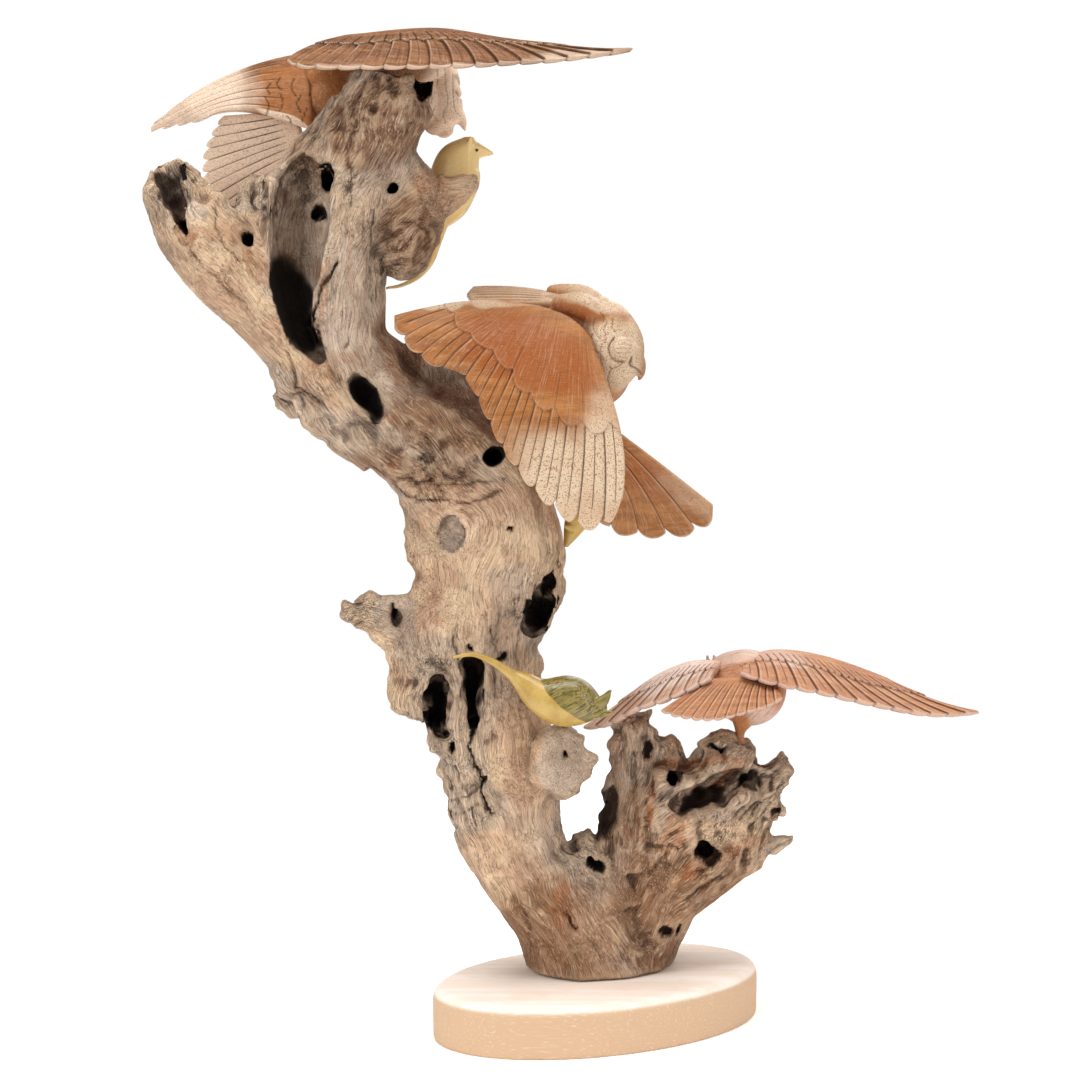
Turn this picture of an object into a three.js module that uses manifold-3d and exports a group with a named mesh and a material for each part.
// Owl wood carving: one weathered root on an oval plinth, three owls with spread wings and three mice.
// Millimetres, +Z up. The origin is the middle of the plinth's underside, +X points to the
// carving's right as the viewer sees it, and +Y points to its back.
import * as THREE from "three";
import { mergeVertices } from "three/addons/utils/BufferGeometryUtils.js";
import Module from "manifold-3d";

const wasm = await Module();
wasm.setup();

// ---------------------------------------------------------------- driving dimensions
const PLINTH_LENGTH = 360; // long axis of the oval
const PLINTH_WIDTH = 232; // short axis
const PLINTH_HEIGHT = 52;
const PLINTH_ROUND = 12; // radius of the worn top edge
const PLINTH_TURN = THREE.MathUtils.degToRad(30); // long axis, from +X towards +Y
const GAP = 0.35; // between two pieces that touch
const RING_STEP = 35; // between the cross-sections of a root limb
const LIMB_SIDES = 12;
const ROOT_FLUTE = 0.07; // depth of the root's long flutes, as a part of its radius
const QUILL_STEP = 2.6; // how far a feather stands over the next one
const COVERT_STEP = 3.2; // how far the short feathers stand over the long ones

// Colours of the finished woods
const WOOD = {
  plinth: { color: 0xd9bfa0, roughness: 0.75 },
  root: { color: 0x8f7359, roughness: 0.9 },
  owl: { color: 0xb07a4c, roughness: 0.5 },
  mouse: { color: 0xc2a354, roughness: 0.35 },
};

// ---------------------------------------------------------------- shape functions
const vec = (a) => new THREE.Vector3(a[0], a[1], a[2]);
const DEPTH = new THREE.Vector3(0, 1, 0);
const UP = new THREE.Vector3(0, 0, 1);

// A closed solid from loose points and triangles, turned so that it faces out.
function solid(points, faces) {
  let volume = 0;
  for (let i = 0; i < faces.length; i += 3) {
    const [a, b, c] = [0, 1, 2].map((k) =>
      new THREE.Vector3().fromArray(points, faces[i + k] * 3),
    );
    volume += a.dot(b.cross(c));
  }
  if (volume < 0) faces.reverse();
  const g = new THREE.BufferGeometry();
  g.setAttribute("position", new THREE.Float32BufferAttribute(points, 3));
  g.setIndex(faces);
  const m = mergeVertices(g, 1e-4);
  return new wasm.Manifold(
    new wasm.Mesh({
      numProp: 3,
      vertProperties: m.attributes.position.array,
      triVerts: new Uint32Array(m.index.array),
    }),
  );
}

// A solid through rings of equal point counts. The ends are closed with a fan,
// or with the triangles of the flat outline that a ring carries.
function loft(rings, outlines) {
  const n = rings[0].length;
  const points = rings.flat().flatMap((p) => [p.x, p.y, p.z]);
  const faces = [];
  for (let i = 0; i + 1 < rings.length; i++)
    for (let k = 0; k < n; k++) {
      const a = i * n + k;
      const b = i * n + ((k + 1) % n);
      faces.push(a, b, b + n, a, b + n, a + n);
    }
  [0, rings.length - 1].forEach((i, end) => {
    const add = (a, b, c) => faces.push(...(end ? [a, b, c] : [a, c, b]));
    if (outlines) {
      for (const face of THREE.ShapeUtils.triangulateShape(outlines[end], [])) {
        const [a, b, c] = face.sort((p, q) => p - q).map((k) => i * n + k);
        add(a, b, c);
      }
      return;
    }
    const centre = rings[i]
      .reduce((s, p) => s.add(p), new THREE.Vector3())
      .divideScalar(n);
    const c = points.length / 3;
    points.push(centre.x, centre.y, centre.z);
    for (let k = 0; k < n; k++) add(i * n + k, i * n + ((k + 1) % n), c);
  });
  return solid(points, faces);
}

// A limb through stations [x, y, z, half width, half depth]. flute, lobes and twist carve
// long ridges along it, and grow makes it that much fatter all round.
function limb(stations, options = {}) {
  const {
    sides = 10,
    flute = 0,
    lobes = 5,
    twist = 0.5,
    seed = 0,
    grow = 0,
    step = RING_STEP,
    side = DEPTH,
  } = options;
  const curve = new THREE.CatmullRomCurve3(stations.map(vec), false, "centripetal");
  const last = stations.length - 1;
  const rings = [];
  for (let s = 0; s < last; s++) {
    const span = vec(stations[s]).distanceTo(vec(stations[s + 1]));
    const steps = Math.max(1, Math.round(span / step));
    for (let k = 0; k < steps + (s === last - 1 ? 1 : 0); k++) {
      const f = k / steps;
      const t = (s + f) / last;
      const centre = curve.getPoint(t);
      const along = curve.getTangent(t);
      const u = new THREE.Vector3().crossVectors(side, along);
      if (u.length() < 0.2) u.crossVectors(UP, along);
      u.normalize();
      const v = new THREE.Vector3().crossVectors(along, u).normalize();
      const [hu, hv] = [3, 4].map((c) => {
        const smooth = f * f * (3 - 2 * f);
        return THREE.MathUtils.lerp(stations[s][c], stations[s + 1][c], smooth) + grow;
      });
      const turn = (s + f) * twist + seed;
      const ring = [];
      for (let j = 0; j < sides; j++) {
        const a = (j / sides) * 2 * Math.PI;
        const r =
          1 +
          flute *
            (Math.cos(lobes * a + turn * 2) + 0.6 * Math.sin((lobes - 2) * a - turn * 3 + seed));
        ring.push(
          centre
            .clone()
            .addScaledVector(u, Math.cos(a) * hu * r)
            .addScaledVector(v, Math.sin(a) * hv * r),
        );
      }
      rings.push(ring);
    }
  }
  return loft(rings);
}

// A carved sheet of feathers. It runs from the root line over the mid line to the tips, each a
// list of points. Every feather has a rounded tip and stands over the next one, and a row of
// short feathers covers the roots. outer is the side with the carving.
function feathers({ root, mid, tip, count, thick, outer, cover = 0.42, notch = 0.05, arched = false }) {
  const lines = [root, mid, tip].map(
    (l) => new THREE.CatmullRomCurve3(l.map(vec), false, "centripetal"),
  );
  const facing = vec(outer).normalize();
  const outlines = [];
  const rings = [];
  for (let j = 0; j < count; j++)
    for (const f of [0.04, 0.5, 1]) {
      const u = (j + f) / count;
      const [a, b, c] = lines.map((l) => l.getPointAt(Math.min(u, 1)));
      const across = lines[1].getTangentAt(Math.min(u, 1));
      const normal = c.clone().sub(a).cross(across).normalize();
      if (normal.dot(facing) < 0) normal.negate();
      const edge = f === 0.5 ? 0 : f === 1 ? notch : notch * 1.4;
      const at = (r, h) => {
        const q = r * (1 - edge * r);
        return a
          .clone()
          .multiplyScalar(2 * (q - 0.5) * (q - 1))
          .addScaledVector(b, 4 * q * (1 - q))
          .addScaledVector(c, 2 * q * (q - 0.5))
          .addScaledVector(normal, h);
      };
      const half = (r) => THREE.MathUtils.lerp(thick[0], thick[1], r) / 2;
      const quill = QUILL_STEP * (0.5 - f);
      const short = QUILL_STEP * 0.6 * (((f * 2) % 1) - 0.5);
      const section = [
        [0, half(0)],
        [cover - 0.02, half(cover) + COVERT_STEP + short],
        [cover + 0.02, half(cover) + quill * 0.6],
        [1, half(1) + quill * 0.8],
        [1, -half(1)],
        ...(arched ? [[0.5, -half(0.5)]] : []),
        [0, -half(0)],
      ];
      const length = a.distanceTo(c);
      rings.push(section.map(([r, h]) => at(r, h)));
      outlines.push(section.map(([r, h]) => new THREE.Vector2(r * length, h)));
    }
  return loft(rings, [outlines[0], outlines[outlines.length - 1]]);
}

const join = (...solids) => solids.reduce((a, b) => a.add(b));
const cut = (from, ...tools) => tools.reduce((a, b) => a.subtract(b), from);

// The piece of a cut solid that stays: the largest one.
const largest = (s) => s.decompose().sort((a, b) => b.volume() - a.volume())[0];

// ---------------------------------------------------------------- plinth
function plinth() {
  const segments = 36;
  const profile = [[0, 0], [1, 0]].map(([r, z]) => [r, 0, z]);
  profile[0] = [0, 0, 0];
  profile[1] = [1, -3, 0];
  profile.push([1, 0, 3]);
  for (let k = 0; k <= 3; k++) {
    const a = (k / 3) * (Math.PI / 2);
    profile.push([
      1,
      -PLINTH_ROUND * (1 - Math.cos(a)),
      PLINTH_HEIGHT - PLINTH_ROUND * (1 - Math.sin(a)),
    ]);
  }
  const rings = profile.slice(1).map(([r, inset, z]) => {
    const ring = [];
    for (let j = 0; j < segments; j++) {
      const a = (j / segments) * 2 * Math.PI;
      const p = new THREE.Vector3(
        (PLINTH_LENGTH / 2 + inset) * Math.cos(a) * r,
        (PLINTH_WIDTH / 2 + inset) * Math.sin(a) * r,
        z,
      );
      ring.push(p.applyAxisAngle(UP, PLINTH_TURN));
    }
    return ring;
  });
  return loft(rings);
}

// ---------------------------------------------------------------- root
// Main limbs: [x, y, z, half width, half depth] from the foot upwards.
const trunkLine = [
  [-1.3, 25, 15.7, 60, 58],
  [-5.6, 20, 64.3, 70, 62],
  [-38.6, 12, 118.5, 53, 58],
  [-79.3, 4, 165.9, 50, 58],
  [-96.5, 0, 217.3, 60, 60],
  [-100.5, 0, 265.5, 61, 60],
  [-105.5, 0, 302.4, 59, 62],
  [-129.7, 0, 325.9, 75, 62],
  [-134.7, 0, 350.3, 77, 62],
  [-136.6, 0, 387, 78, 62],
  [-125.5, 0, 417.4, 71, 62],
  [-111.3, 0, 443.7, 78, 62],
  [-108.2, 0, 474.1, 79, 62],
  [-110.2, 0, 492.2, 77, 62],
  [-116.2, 0, 514.4, 79, 62],
  [-129.1, 0, 548.6, 76, 60],
  [-168.1, 0, 591.7, 63, 58],
  [-213.9, 0, 619.7, 55, 55],
  [-230.7, 0, 654.6, 66, 50],
];
const upperLine = [
  [-220.8, 0, 634.7, 62, 50],
  [-252.3, -2, 684.5, 44, 46],
  [-268.6, -5, 734.1, 55, 46],
  [-272, -8, 783.4, 62, 46],
  [-260.6, -10, 827.5, 72, 44],
  [-244.2, -14, 863.5, 62, 40],
  [-224, -18, 900.2, 50, 36],
  [-206.1, -20, 931.1, 46, 32],
  [-202, -20, 954.4, 40, 26],
];
const leftLine = [
  [-205.1, 0, 594.7, 46, 44],
  [-260.4, -4, 646.8, 51, 44],
  [-294.7, -6, 693.5, 43, 40],
  [-323.2, -6, 728.2, 47, 38],
  [-362.5, -6, 766.7, 46, 36],
  [-402.6, -6, 812, 41, 34],
  [-421.1, -6, 839.5, 31, 30],
  [-422.6, -6, 870.8, 19, 22],
];
const lobeLine = [
  [-210.8, -12, 873.4, 28, 30],
  [-193.5, -8, 832.5, 43, 36],
  [-190.7, -8, 798.1, 35, 34],
  [-194.8, -8, 771.6, 27, 26],
  [-199.8, -8, 756.8, 8, 10],
];
const stubLine = [
  [-182.6, -8, 827.6, 26, 24],
  [-152.9, -8, 836.4, 18, 18],
  [-132.1, -8, 846.2, 11, 12],
  [-122.2, -8, 849.2, 6, 7],
];
const knotLine = [
  [-59, 0, 264.5, 34, 36],
  [-37.2, -48, 279.3, 32, 38],
  [-33.5, -74, 282, 27, 33],
];
const perchLine = [
  [-99.1, 4, 552.3, 34, 34],
  [-54, 8, 564.1, 24, 24],
  [-14.8, 8, 566.1, 15, 15],
];
const burlLine = [
  [30.4, 45, 20.7, 42, 58],
  [43.5, 42, 79.7, 42, 58],
  [59.8, 38, 117.5, 43, 58],
  [76.8, 32, 152.4, 62, 60],
  [94.9, 28, 186.7, 85, 62],
  [99.7, 25, 224.7, 88, 60],
  [106.5, 22, 258.4, 80, 54],
];

function rootSolids() {
  const wild = { sides: LIMB_SIDES, flute: ROOT_FLUTE };
  return {
    trunk: limb(trunkLine, { ...wild, sides: 14, seed: 1, twist: 0.3 }),
    upper: limb(upperLine, { ...wild, flute: 0.04, seed: 2 }),
    left: limb(leftLine, { ...wild, flute: 0.05, seed: 3 }),
    stub: limb(stubLine, { sides: 8 }),
    lobe: limb(lobeLine, { sides: 10, flute: 0.04, seed: 1 }),
    ridge: limb(
      [
        [-331.2, -2, 771.7, 22, 26],
        [-342.6, -2, 817, 21, 24],
        [-344.6, 0, 836.8, 17, 18],
        [-338.6, 0, 848.6, 8, 10],
      ],
      { sides: 8, flute: 0.06, seed: 2 },
    ),
    strand: limb(
      [
        [-242.8, -34, 850.7, 16, 14],
        [-244.7, -40, 797.1, 18, 16],
        [-250.6, -44, 743.6, 22, 17],
        [-249.1, -42, 694.9, 24, 17],
        [-234, -38, 650.7, 26, 18],
        [-202, -34, 611.2, 30, 20],
      ],
      { sides: 10, flute: 0.08, seed: 4, twist: 1.2 },
    ),
    lip: limb(
      [
        [-256.6, -40, 770.9, 6, 7],
        [-271.9, -46, 743.6, 9, 9],
        [-276.1, -46, 714.4, 8, 9],
        [-268.8, -42, 692.9, 5, 6],
      ],
      { sides: 7 },
    ),
    shoulder: limb(
      [
        [-179.7, 14, 594, 70, 44],
        [-161.5, 14, 639.2, 56, 40],
        [-167.3, 14, 684.3, 34, 30],
        [-174.2, 14, 706.3, 14, 14],
      ],
      { sides: 12, flute: 0.04, seed: 5 },
    ),
    perch: limb(perchLine, { sides: 10, flute: 0.05, seed: 2 }),
    knob: limb(
      [
        [-288.5, -4, 626.8, 14, 14],
        [-308.4, -4, 630.8, 11, 11],
        [-318.3, -4, 634.8, 5, 6],
      ],
      { sides: 7 },
    ),
    stump: limb(
      [
        [-169.4, -10, 398.4, 44, 30],
        [-201.4, -10, 412.6, 31, 25],
        [-233.5, -10, 420.6, 19, 20],
        [-253.5, -10, 428.7, 12, 13],
      ],
      { sides: 10, flute: 0.06, seed: 1 },
    ),
    knot: limb(knotLine, { sides: 12, flute: 0.05, seed: 3, side: UP }),
    burl: limb(burlLine, { ...wild, seed: 5 }),
    column: limb(
      [
        [31.3, 24, 160.5, 34, 40],
        [28.9, 20, 210.2, 31, 36],
        [34.8, 18, 248.9, 27, 30],
        [36.8, 18, 286, 26, 26],
        [36.7, 18, 306.6, 25, 22],
        [33.6, 18, 317.9, 16, 15],
      ],
      { sides: 10, flute: 0.08, seed: 6 },
    ),
    shelf: limb(
      [
        [71.5, 16, 252.3, 22, 24],
        [70.3, 16, 278.1, 16, 18],
        [65.2, 16, 290.5, 7, 9],
      ],
      { sides: 8, flute: 0.05, seed: 3 },
    ),
    hump: limb(
      [
        [132.6, 14, 237.2, 46, 40],
        [131.2, 12, 266.5, 38, 34],
        [127, 12, 285, 29, 26],
        [125.9, 12, 294.2, 15, 16],
      ],
      { sides: 10, flute: 0.06, seed: 7 },
    ),
    web: limb(
      [
        [6.6, 18, 117, 40, 52],
        [-7.9, 16, 158.1, 34, 42],
        [-14, 16, 178.9, 22, 30],
        [-15.1, 16, 191.3, 11, 18],
      ],
      { sides: 10, flute: 0.04, seed: 8 },
    ),
    spur: limb(
      [
        [166.5, 4, 218.6, 26, 26],
        [180.3, 2, 244.7, 17, 18],
        [184.1, 2, 265.2, 14, 14],
        [187.1, 2, 278.5, 8, 8],
      ],
      { sides: 8, flute: 0.06, seed: 2 },
    ),
    lowSpur: limb(
      [
        [150, 10, 176, 24, 24],
        [180.3, 8, 181.6, 13, 13],
        [199.6, 8, 188.8, 5, 6],
      ],
      { sides: 8 },
    ),
  };
}

// Hollows of the weathered root, as tapered bodies that are taken away.
function rootHollows() {
  return [
    // the long dark hollow between the left limb and the twisted strand
    limb(
      [
        [-289.8, -52, 870.9, 10, 24],
        [-294.7, -44, 848.3, 31, 48],
        [-295.2, -42, 805.8, 32, 56],
        [-298.6, -42, 751.4, 25, 56],
        [-295, -42, 715.4, 18, 50],
        [-288.4, -42, 693.9, 15, 44],
        [-272.3, -48, 674.4, 6, 22],
      ],
      { sides: 8, step: 60 },
    ),
    // the open end of the left limb and its two holes
    limb(
      [
        [-433.4, -12, 881.2, 16, 16],
        [-424.8, -20, 846.6, 15, 20],
        [-412.8, -24, 817.1, 10, 17],
        [-402.8, -28, 792.6, 5, 12],
      ],
      { sides: 8, step: 60 },
    ),
    // between the left limb and the upper trunk
    limb(
      [
        [-383.4, 20, 883.3, 12, 60],
        [-369.5, 10, 853, 12, 50],
        [-356.5, 0, 836.8, 8, 40],
      ],
      { sides: 8, step: 60 },
    ),
    // dark hollows beside and behind the middle owl's wing
    limb(
      [
        [-204.1, -40, 704.6, 12, 20],
        [-177, -34, 685, 28, 34],
        [-147.6, -34, 655.5, 24, 32],
        [-127.9, -36, 643.8, 8, 18],
      ],
      { sides: 8, step: 60 },
    ),
    // the broken hole on the right of the trunk
    limb(
      [
        [-49.1, -30, 461, 5, 18],
        [-54, -32, 439.3, 11, 30],
        [-63, -34, 420.5, 14, 30],
        [-69.9, -38, 405, 9, 20],
      ],
      { sides: 7, step: 60 },
    ),
    // the pair of hollows in the middle of the trunk
    limb(
      [
        [-160.7, -54, 363.3, 8, 22],
        [-158, -50, 339.8, 14, 44],
        [-161, -50, 319.8, 13, 42],
        [-157.9, -54, 307.4, 6, 26],
      ],
      { sides: 7, step: 60 },
    ),
    limb(
      [
        [-129, -56, 384.5, 12, 20],
        [-123.2, -54, 366.3, 11, 36],
        [-126.2, -54, 342.4, 10, 34],
        [-124.2, -58, 309.1, 5, 18],
      ],
      { sides: 7, step: 60 },
    ),
    // notch cavity and pit between the trunk and the burl
    limb(
      [
        [14.2, -24, 262.8, 8, 20],
        [10.3, -24, 234.3, 13, 30],
        [4.3, -26, 206.2, 14, 32],
        [-4.8, -30, 182.6, 8, 20],
      ],
      { sides: 7, step: 60 },
    ),
    // bowl and pits of the burl
    limb(
      [
        [74.8, -38, 224.9, 8, 16],
        [92.9, -36, 233.7, 17, 34],
        [118.8, -36, 244.8, 20, 44],
        [144.8, -34, 256.6, 16, 40],
        [162.9, -32, 268.3, 8, 22],
      ],
      { sides: 8, step: 60 },
    ),
  ];
}

// Holes that go through whatever lies there, as tapered plugs.
function rootHoles() {
  const plug = (stations, sides = 7) => limb(stations, { sides: sides - 1, step: 90, side: UP });
  return [
    // the slanted hollow across the foot of the twisted strand
    limb(
      [
        [-244.9, -62, 659.2, 10, 22],
        [-230.4, -62, 640.7, 15, 30],
        [-212.1, -62, 618.3, 9, 22],
      ],
      { sides: 7, step: 60 },
    ),
    plug([[-263.2, -70, 850.7, 7, 18], [-269.6, 6, 852.8, 4, 12]], 7),
    plug([[-276.8, -40, 818.5, 9, 12], [-281.4, 12, 819.6, 5, 7]], 7),
    plug([[-404, -60, 802.3, 5, 9], [-411.1, 4, 804.4, 4, 6]], 6),
    plug([[-344, -60, 791.7, 9, 9], [-349.3, 2, 793.5, 5, 5]], 7),
    // holes of the upper trunk
    plug([[-170.8, -60, 939.2, 15, 16], [-176.8, -17, 940.1, 9, 10]], 7),
    plug([[-200.7, -70, 841.2, 8, 9], [-203.8, 0, 844.7, 5, 5]], 7),
    plug([[-103.8, -70, 580.7, 11, 11], [-106.8, -14, 577.5, 5, 5]], 7),
    // knot hollow on the stump at the left
    plug([[-198.5, -60, 422.7, 12, 20], [-203.1, -16, 417.3, 6, 11]], 7),
    plug([[-151, -80, 310.8, 5, 5], [-156, 80, 283.8, 5, 5]], 6),
    // the waist below the swelling on the left
    plug([[-193, -100, 306.3, 31, 31], [-204.2, 100, 271.9, 31, 31]], 11),
    plug([[0.5, -90, 298.7, 9, 9], [0.4, -10, 284.7, 7, 7]], 6),
    plug([[-5.9, -80, 177.5, 11, 12], [-2.7, -28, 167.9, 6, 6]], 7),
    plug([[70.5, -60, 260.4, 12, 10], [76.7, 0, 249.1, 7, 6]], 7),
    plug([[106.3, -64, 187, 15, 13], [106.9, -10, 178.3, 8, 8]], 8),
    plug([[120.2, -40, 287.9, 12, 10], [123.6, 6, 277.8, 6, 6]], 7),
    plug([[66.3, -40, 102.4, 8, 6], [68.5, 4, 92.4, 4, 3]], 6),
  ];
}

// ---------------------------------------------------------------- owls
const blunt = { side: UP, sides: 10, step: 36 };

function owlTop() {
  const rightWing = feathers({
    count: 14,
    thick: [13, 5],
    outer: [0, -0.3, 1],
    root: [[-315.2, 25, 972.4], [-260.2, 50, 989.8], [-200.4, 60, 1000.8], [-160, 60, 1001.8], [-99.2, 48, 989.6], [-39.1, 25, 979.3]],
    mid: [[-305.7, 0, 968.9], [-251.8, 5, 975.3], [-197.4, 5, 982.1], [-137.9, 0, 981.6], [-68.8, -10, 978.6], [-2.2, -20, 978.5]],
    tip: [[-304.3, -25, 962.6], [-291.7, -45, 957.8], [-213.2, -60, 955.4], [-126.2, -70, 956.3], [-78.1, -75, 958.6], [-39.9, -75, 962.4], [-1.5, -70, 967.6], [34.4, -60, 975.3]],
  });
  const leftWing = feathers({
    count: 8,
    thick: [12, 4],
    outer: [-0.2, -0.8, 0.6],
    root: [[-280.8, 24, 899.3], [-306.5, 22, 907.1], [-332.8, 26, 916.3]],
    mid: [[-287.3, 34, 941.7], [-329.8, 38, 942], [-364.6, 42, 930.5], [-393.4, 46, 911.9]],
    tip: [[-300.7, 52, 983.1], [-343.8, 58, 972.7], [-383.7, 60, 954.9], [-404, 60, 945], [-421.3, 60, 935], [-439.8, 60, 919.9], [-459.2, 60, 902.9]],
  });
  const tail = feathers({
    count: 8,
    thick: [9, 4],
    cover: 0.3,
    notch: 0.055,
    outer: [0, -1, 0.2],
    root: [[-311.1, 50, 925.1], [-299.2, 50, 905.2], [-301.5, 50, 873.2]],
    mid: [[-345.7, 52, 922.3], [-347.2, 54, 893.5], [-336.5, 54, 851.4]],
    tip: [[-380.8, 58, 919.8], [-392.4, 60, 901.9], [-400, 62, 884], [-402.4, 63, 863.9], [-400.5, 63, 847.8], [-391.4, 62, 835.7], [-369.9, 60, 826.5]],
  });
  const body = limb(
    [
      [-308.9, 48, 923, 8, 10],
      [-284.9, 50, 929.1, 24, 24],
      [-251.4, 62, 938.1, 34, 36],
      [-211.9, 78, 939.5, 36, 38],
      [-177.8, 92, 946.8, 28, 30],
      [-163.7, 98, 953.4, 14, 16],
    ],
    blunt,
  );
  const head = limb(
    [
      [-160.5, 96, 977.5, 14, 16],
      [-159.5, 97, 963.4, 18, 26],
      [-158.6, 98, 945.2, 19, 28],
      [-157.6, 98, 927, 20, 24],
      [-158.7, 97, 913.7, 20, 17],
      [-155.6, 97, 906.6, 9, 8],
    ],
    { sides: 10, step: 30 },
  );
  const beak = limb(
    [
      [-149.4, 97, 931, 9, 9],
      [-140.2, 97, 918.8, 6, 6],
      [-136.1, 97, 907.6, 1.6, 1.6],
    ],
    { sides: 7, step: 30 },
  );
  const saddle = limb(
    [
      [-304.8, 50, 951, 9, 10],
      [-282.5, 48, 954.8, 16, 16],
      [-255.4, 50, 967, 20, 22],
      [-210.5, 58, 973.7, 26, 26],
      [-170.4, 66, 978.5, 20, 22],
      [-145.1, 66, 984.5, 8, 10],
    ],
    blunt,
  );
  return join(body, saddle, rightWing, leftWing, tail, head, beak);
}

function owlMiddle() {
  const nearWing = feathers({
    count: 13,
    thick: [14, 6],
    cover: 0.5,
    notch: 0.06,
    arched: true,
    outer: [0, -1, 0.3],
    root: [[-98.9, 5, 729.2], [-54.1, -18, 726.1], [-24.6, -32, 714.4], [-11.9, -38, 692.9]],
    mid: [[-154, -15, 728.1], [-137.5, -40, 702.7], [-100, -54, 673.6], [-68.7, -64, 638.8], [-25, -70, 612.8], [19.9, -66, 604.8]],
    tip: [[-207.6, -30, 717.3], [-194.5, -38, 692.9], [-176.5, -46, 677.3], [-159.7, -50, 667.6], [-139.1, -52, 664.8], [-124.4, -55, 647.3], [-111.7, -60, 622.1], [-95.1, -64, 588.1], [-82.4, -66, 568.7], [-65.8, -70, 547.5], [-43.4, -75, 527.4], [-16.3, -80, 511.2], [7.1, -80, 516.1], [18.7, -80, 532.7]],
  });
  const farWing = feathers({
    count: 6,
    thick: [13, 5],
    cover: 0.3,
    notch: 0.05,
    outer: [0.3, -1, 0.2],
    root: [[-6.2, 42, 621.1], [-18.3, 42, 610.9], [-36.6, 40, 602.9]],
    mid: [[59.4, 70, 571.6], [30.5, 66, 554.4], [-3.6, 58, 546.7]],
    tip: [[127.1, 92, 518.3], [110.4, 88, 494.6], [73.5, 78, 489.3], [41, 66, 491.4], [14.9, 56, 497.4], [-13, 48, 522.7]],
  });
  const tail = feathers({
    count: 7,
    thick: [9, 4],
    cover: 0.35,
    outer: [0, -0.3, 1],
    root: [[-38.7, 55, 737.5], [-36.9, 27, 734.3], [-39.1, 0, 728.2]],
    mid: [[-84.5, 60, 744.6], [-87.2, 27, 739.3], [-83.9, -3, 730.1]],
    tip: [[-128.5, 68, 745.7], [-132, 47, 742.5], [-133.4, 27, 739.3], [-130.9, 8, 735.2], [-124.5, -8, 730.1]],
  });
  const body = limb(
    [
      [-69.1, 28, 731.3, 8, 14],
      [-46.9, 26, 720.2, 22, 28],
      [-23.9, 18, 702.2, 38, 40],
      [-9, 8, 678.4, 42, 42],
      [-7, 6, 650.5, 36, 38],
      [-8.9, 8, 630.4, 18, 20],
    ],
    { sides: 10, step: 36 },
  );
  const head = limb(
    [
      [-0.4, -6, 728.2, 12, 16],
      [5.5, -8, 716.3, 23, 28],
      [9.5, -10, 696.5, 32, 35],
      [11.5, -10, 676.7, 32, 34],
      [9.6, -8, 659.8, 23, 26],
      [4.8, -6, 644.8, 9, 12],
    ],
    { sides: 10, step: 36 },
  );
  const beak = limb(
    [
      [30.2, -16, 682.7, 10, 10],
      [40.1, -16, 670.9, 7, 7],
      [40.2, -16, 656, 2, 2],
    ],
    { sides: 7, step: 30 },
  );
  const brow = limb(
    [
      [13.6, -38, 694.8, 5, 6],
      [21.4, -42, 689, 10, 9],
      [29.4, -38, 681.1, 5, 6],
    ],
    { sides: 8, step: 30 },
  );
  const ear = limb([[13, 10, 716.3, 7, 7], [19, 12, 728.2, 3, 3]], { sides: 6 });
  const shoulder = limb(
    [
      [-39.1, -6, 730.1, 10, 12],
      [-15.5, -20, 728.1, 13, 16],
      [0.1, -28, 716.3, 10, 12],
    ],
    { sides: 8, step: 30 },
  );
  const farShoulder = limb(
    [
      [-46.8, 52, 742.5, 7, 10],
      [-30.6, 50, 739.5, 13, 14],
      [-8.3, 48, 730.4, 15, 16],
      [1.8, 44, 704.1, 14, 16],
      [-6.2, 44, 655.5, 13, 14],
      [-16.3, 44, 608.8, 9, 10],
    ],
    { sides: 7, step: 60 },
  );
  return join(body, nearWing, farWing, tail, head, beak, brow, ear, shoulder, farShoulder);
}

const middleLegLine = [
  [-10.9, 8, 638.4, 13, 13],
  [-15.9, 8, 604.3, 7, 7],
  [-20.8, 8, 578.2, 6, 6],
];
const bottomLegLine = [
  [149.7, 8, 326.7, 23, 20],
  [145.8, 8, 308.2, 11, 11],
  [143.9, 8, 298, 5, 5],
  [144, 8, 285.7, 5, 5],
];

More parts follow.
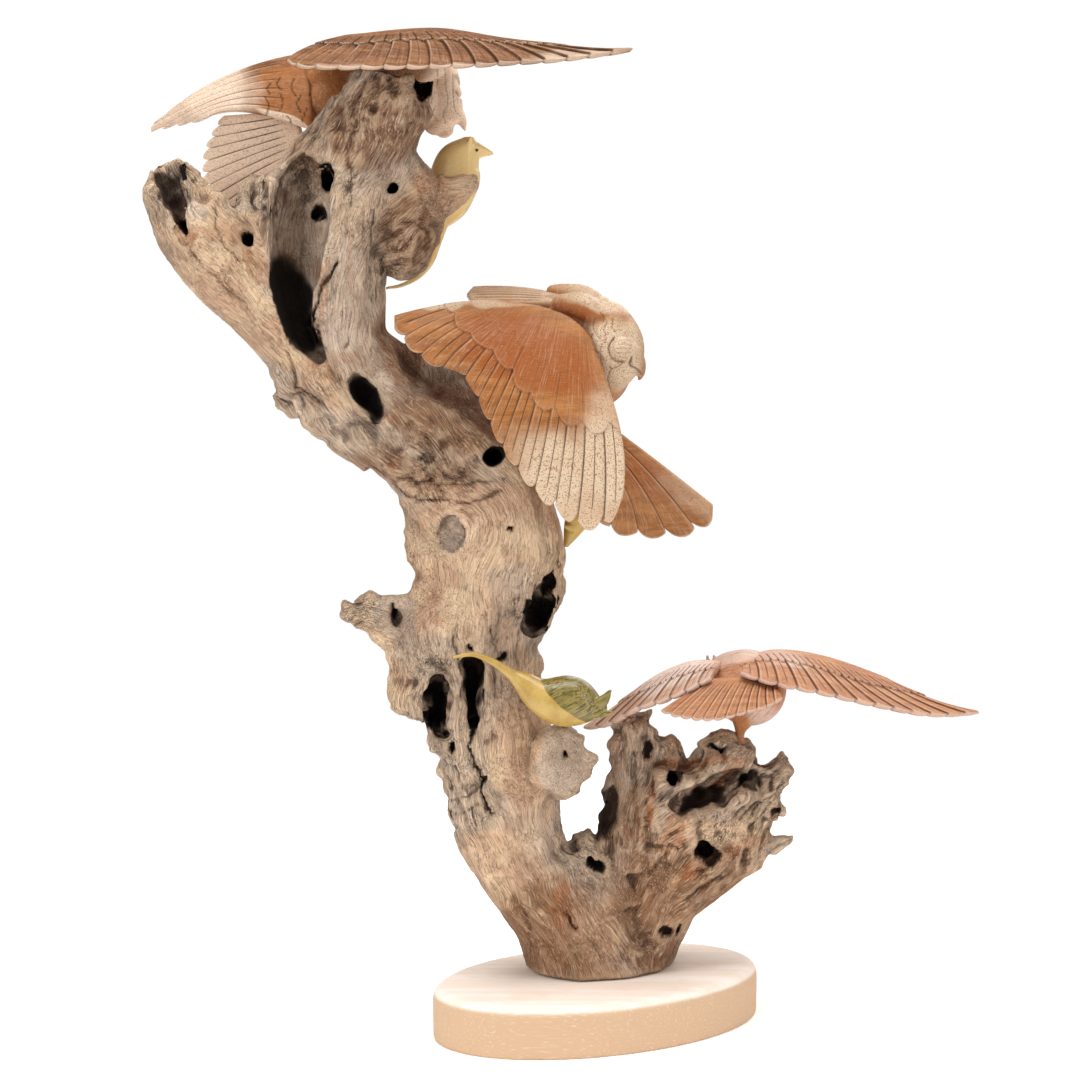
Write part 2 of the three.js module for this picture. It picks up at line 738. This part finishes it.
function owlBottom() {
  const rightWing = feathers({
    count: 13,
    thick: [13, 5],
    outer: [0, -0.3, 1],
    root: [[145.5, 35, 363.7], [181.9, 42, 373.1], [228.1, 42, 367.9], [258.5, 38, 359.2], [293.1, 28, 345.2]],
    mid: [[144.8, 0, 362.6], [178, 0, 365.6], [223.5, 0, 357.5], [273.9, -2, 342.5], [337.2, 2, 329.6]],
    tip: [[140.4, -30, 362.8], [157.9, -35, 355.5], [184.2, -42, 349.5], [219.5, -46, 344.1], [246.3, -46, 338.1], [277.7, -42, 331.5], [300.5, -36, 325.5], [324.4, -30, 320.5], [352, -20, 317.9], [370.4, -12, 317.6], [389.6, 0, 318.7]],
  });
  const leftWing = feathers({
    count: 9,
    thick: [13, 5],
    outer: [0, -0.3, 1],
    root: [[129.6, 40, 361], [105, 40, 363], [82.1, 34, 357.7], [55, 22, 346.1]],
    mid: [[118.9, 5, 358.8], [96.4, 0, 354.4], [69.9, -5, 347], [49.7, -8, 338.3], [15.8, 0, 321.8]],
    tip: [[112.5, -30, 356.8], [103.1, -36, 353.7], [86.8, -44, 346.8], [65.8, -48, 338.4], [37.1, -48, 329.4], [13.5, -42, 316.4], [-0.2, -34, 309.1], [-18.9, -22, 306.1]],
  });
  const tail = feathers({
    count: 8,
    thick: [10, 4],
    cover: 0.3,
    outer: [0, -0.5, 0.85],
    root: [[111.7, -12, 352.1], [146.6, -15, 354.6], [180.1, -12, 347.1]],
    mid: [[85.2, -38, 341.9], [134.4, -45, 341], [180.9, -35, 344.5]],
    tip: [[58.6, -55, 328.6], [71.1, -62, 324.7], [85.5, -68, 322.7], [99, -72, 322.4], [116.6, -74, 322.7], [142.2, -72, 329.3], [166.6, -62, 334.7], [181.5, -50, 340.8]],
  });
  const body = limb(
    [
      [143.2, -46, 349.1, 12, 8],
      [149.3, -20, 347.2, 32, 28],
      [154.2, 14, 340.1, 36, 38],
      [153.1, 50, 339.8, 38, 37],
      [140.8, 78, 340.9, 30, 30],
      [131.7, 96, 338.3, 22, 24],
    ],
    blunt,
  );
  const head = limb(
    [
      [133, 84, 335.8, 16, 16],
      [128.8, 98, 333.7, 26, 26],
      [125.7, 114, 329.2, 24, 24],
      [123.5, 128, 325, 10, 10],
    ],
    blunt,
  );
  const beak = limb([[123.2, 124, 325.6, 6, 7], [121.9, 134, 314.4, 2, 2]], { sides: 6, side: UP });
  const ears = [
    limb([[116.8, 94, 353.3, 4, 4], [115.7, 94, 365, 1.5, 1.5]], { sides: 6 }),
    limb([[125.5, 98, 353.8, 4, 4], [123.3, 98, 365.5, 1.5, 1.5]], { sides: 6 }),
  ];
  return join(body, rightWing, leftWing, tail, head, beak, ...ears);
}

// ---------------------------------------------------------------- mice
function mouse(bodyLine, tailLine, parts) {
  return join(
    limb(bodyLine, { sides: 9, step: 22 }),
    limb(tailLine, { sides: 5, step: 20 }),
    ...parts.map((line) => limb(line, { sides: 5, step: 30 })),
  );
}

const mice = {
  top: () =>
    mouse(
      [
        [-158.1, 20, 808, 5, 6],
        [-148.1, 22, 827.9, 17, 16],
        [-145.1, 24, 849.8, 25, 20],
        [-141, 25, 869.7, 23, 19],
        [-133, 25, 884.6, 15, 14],
        [-129, 25, 893.5, 7, 8],
      ],
      [
        [-213.7, 24, 746.3, 1.6, 1.6],
        [-197.6, 24, 749.3, 2.2, 2.2],
        [-181.4, 22, 758.2, 3, 3],
        [-169.2, 20, 772.1, 3.6, 3.6],
        [-162.1, 20, 792, 4.6, 4.6],
        [-156.1, 20, 811.9, 6, 6],
      ],
      [
        [[-127, 25, 884.6, 12, 11], [-116, 25, 881.6, 6, 6], [-106, 25, 879.6, 1.8, 1.8]],
        [[-128.7, 14, 884.8, 4, 3], [-127.6, 13, 894.6, 2, 2]],
        [[-129.3, 36, 886.3, 4, 3], [-128.3, 37, 895.3, 2, 2]],
      ],
    ),
  middle: () =>
    mouse(
      [
        [-10.9, 0, 548.6, 6, 6],
        [-14.9, -2, 532.6, 13, 12],
        [-20.9, -4, 516.7, 13, 12],
        [-28, -6, 500.8, 8, 8],
        [-33, -8, 488.9, 2.5, 2.5],
      ],
      [
        [-10.9, 0, 540.5, 3, 3],
        [-1.8, 4, 550.3, 2.2, 2.2],
        [3.2, 6, 566.3, 1.6, 1.6],
      ],
      [[[-25.1, -14, 505.5, 4, 3], [-34.1, -17, 508.8, 2, 2]]],
    ),
  bottom: () =>
    mouse(
      [
        [-86.5, -70, 367.6, 6, 6],
        [-74.7, -70, 359.7, 11, 11],
        [-61, -70, 348.8, 17, 17],
        [-44.3, -70, 342.9, 24, 21],
        [-26.6, -70, 340.9, 25, 21],
        [-11.9, -70, 336.9, 19, 17],
        [-1.1, -70, 333.9, 10, 10],
      ],
      [
        [-144.1, -76, 386.3, 1.8, 1.8],
        [-124.4, -78, 389.5, 2.6, 2.6],
        [-105.9, -77, 382.4, 3.6, 3.6],
        [-90.3, -73, 371, 5, 5],
        [-80.6, -70, 363.7, 6, 6],
      ],
      [
        [[-6.2, -78, 338.2, 7, 4], [2.6, -80, 344.4, 6, 3], [10.4, -80, 354.3, 1.6, 1.4]],
        [[-10.1, -78, 331.3, 6, 4], [1.6, -80, 330.6, 4.5, 3], [12.4, -80, 331.6, 2, 1.6]],
      ],
    ),
};

// ---------------------------------------------------------------- assembly
const grown = (line, options) => limb(line, { ...options, grow: GAP });
const floor = (z) => {
  const box = new THREE.BoxGeometry(1000, 1000, 400).translate(0, 0, z - 200);
  return solid(Array.from(box.attributes.position.array), Array.from(box.index.array));
};

const { strand, lip, ...mass } = rootSolids();
const legMiddle = limb(middleLegLine, { sides: 8 });
const legBottom = limb(bottomLegLine, { sides: 8 });
const rootSolid = largest(
  cut(
    join(cut(join(...Object.values(mass)), ...rootHollows()), strand, lip),
    ...rootHoles(),
    floor(PLINTH_HEIGHT + GAP),
    grown(middleLegLine, { sides: 8 }),
    grown(bottomLegLine, { sides: 8 }),
  ),
);

// The limbs that an owl or a mouse lies against, fatter by the gap.
const wild = { sides: LIMB_SIDES, flute: ROOT_FLUTE };
const against = {
  upper: grown(upperLine, { ...wild, flute: 0.04, seed: 2 }),
  stub: grown(stubLine, { sides: 8 }),
  lobe: grown(lobeLine, { sides: 10, flute: 0.04, seed: 1 }),
  knot: grown(knotLine, { sides: 12, flute: 0.05, seed: 3, side: UP }),
  perch: grown(perchLine, { sides: 10, flute: 0.05, seed: 2 }),
  trunk: grown(trunkLine, { ...wild, sides: 14, seed: 1, twist: 0.3 }),
};

const pieces = {
  plinth: [plinth(), WOOD.plinth],
  driftwood_root: [rootSolid, WOOD.root],
  owl_top: [largest(cut(owlTop(), against.upper, against.lobe)), WOOD.owl],
  owl_middle: [largest(join(owlMiddle(), legMiddle)), WOOD.owl],
  owl_bottom: [largest(join(owlBottom(), legBottom)), WOOD.owl],
  mouse_top: [largest(cut(mice.top(), against.upper, against.stub, against.lobe)), WOOD.mouse],
  mouse_middle: [largest(cut(mice.middle(), against.perch, against.trunk)), WOOD.mouse],
  mouse_bottom: [largest(cut(mice.bottom(), against.knot, against.trunk)), WOOD.mouse],
};

const carving = new THREE.Group();
for (const [name, [body, wood]] of Object.entries(pieces)) {
  const { vertProperties, triVerts } = body.getMesh();
  const geometry = new THREE.BufferGeometry();
  geometry.setAttribute("position", new THREE.Float32BufferAttribute(vertProperties, 3));
  geometry.setIndex(Array.from(triVerts));
  geometry.computeVertexNormals();
  const mesh = new THREE.Mesh(
    geometry,
    new THREE.MeshStandardMaterial({ color: wood.color, roughness: wood.roughness, metalness: 0 }),
  );
  mesh.name = name;
  carving.add(mesh);
}

export default carving;
